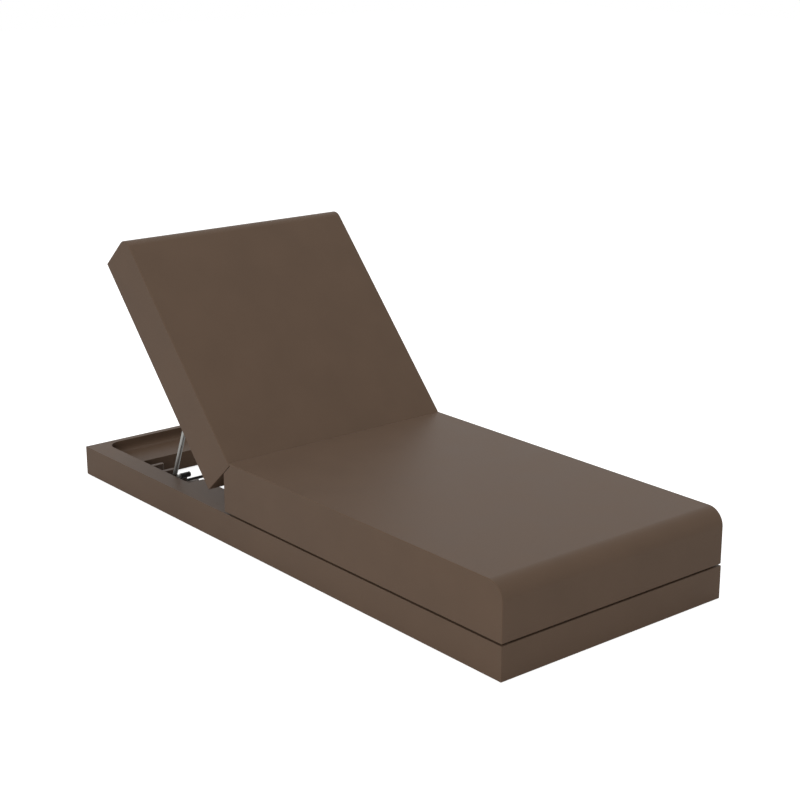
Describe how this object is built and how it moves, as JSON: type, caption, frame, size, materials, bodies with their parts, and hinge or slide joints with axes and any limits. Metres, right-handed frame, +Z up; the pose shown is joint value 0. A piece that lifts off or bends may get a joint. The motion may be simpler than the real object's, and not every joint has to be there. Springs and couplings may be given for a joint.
{
  "type": "platform sun lounger",
  "caption": "Low platform lounger: moulded seat slab on a moulded base, backrest slab that tilts on hinges and folds flat over a bent-rod prop.",
  "frame": {"origin": "centre of the base's footprint, on the floor", "axes": "+X towards the foot end, +Y to the far side, +Z up"},
  "size_m": [2, 0.8, 0.8245],
  "materials": {
    "moulded_brown": "fine matt grain",
    "rack_brown": "matt",
    "stainless": "satin",
    "black_steel": "satin black coating",
    "insert_brass": "turned",
    "black_rubber": "matt",
    "nylon": "smooth",
    "black_nylon": "smooth"
  },
  "bodies": {
    "base": {"base_frame": "moulded_brown", "base_glides": "black_rubber", "base_vent_plug": "black_rubber", "near_prop_rack": "rack_brown", "far_prop_rack": "rack_brown", "rack_screws": "stainless", "rack_tie_rod": "black_steel", "seat_shell": "moulded_brown", "seat_vent_plug": "black_rubber", "seat_inserts": "insert_brass", "seat_bolts": "stainless", "seat_bolt_washers": "stainless", "near_seat_hinge_bracket": "stainless", "far_seat_hinge_bracket": "stainless", "seat_bracket_inserts": "insert_brass", "seat_bracket_screws": "stainless", "near_hinge_pin": "stainless", "far_hinge_pin": "stainless", "hinge_pin_clips": "stainless"},
    "backrest": {"back_shell": "moulded_brown", "back_vent_plug": "black_rubber", "back_buffers": "black_rubber", "near_back_hinge_tongue": "stainless", "far_back_hinge_tongue": "stainless", "near_hinge_bushes": "nylon", "far_hinge_bushes": "nylon", "back_tongue_inserts": "insert_brass", "back_tongue_screws": "stainless", "prop_saddle_bases": "black_nylon", "prop_saddle_caps": "black_nylon", "prop_saddle_inserts": "insert_brass", "prop_saddle_screws": "stainless"},
    "prop": {"prop_bail": "stainless", "near_prop_foot_cap": "black_rubber", "far_prop_foot_cap": "black_rubber"}
  },
  "joints": [
    {"name": "backrest_tilt", "type": "hinge", "parent": "base", "child": "backrest", "pos_m": [-0.179, 0, 0.2145], "axis": [0, 1, 0], "range_deg": [-48, 0]},
    {"name": "prop_fold", "type": "hinge", "parent": "backrest", "child": "prop", "pos_m": [-0.4516, 0, 0.44029], "axis": [0, 1, 0], "range_deg": [0, 115.4]}
  ],
  "couplings": [
    {"joint": "prop_fold", "follows": "backrest_tilt", "ratio": -2.4042}
  ]
}
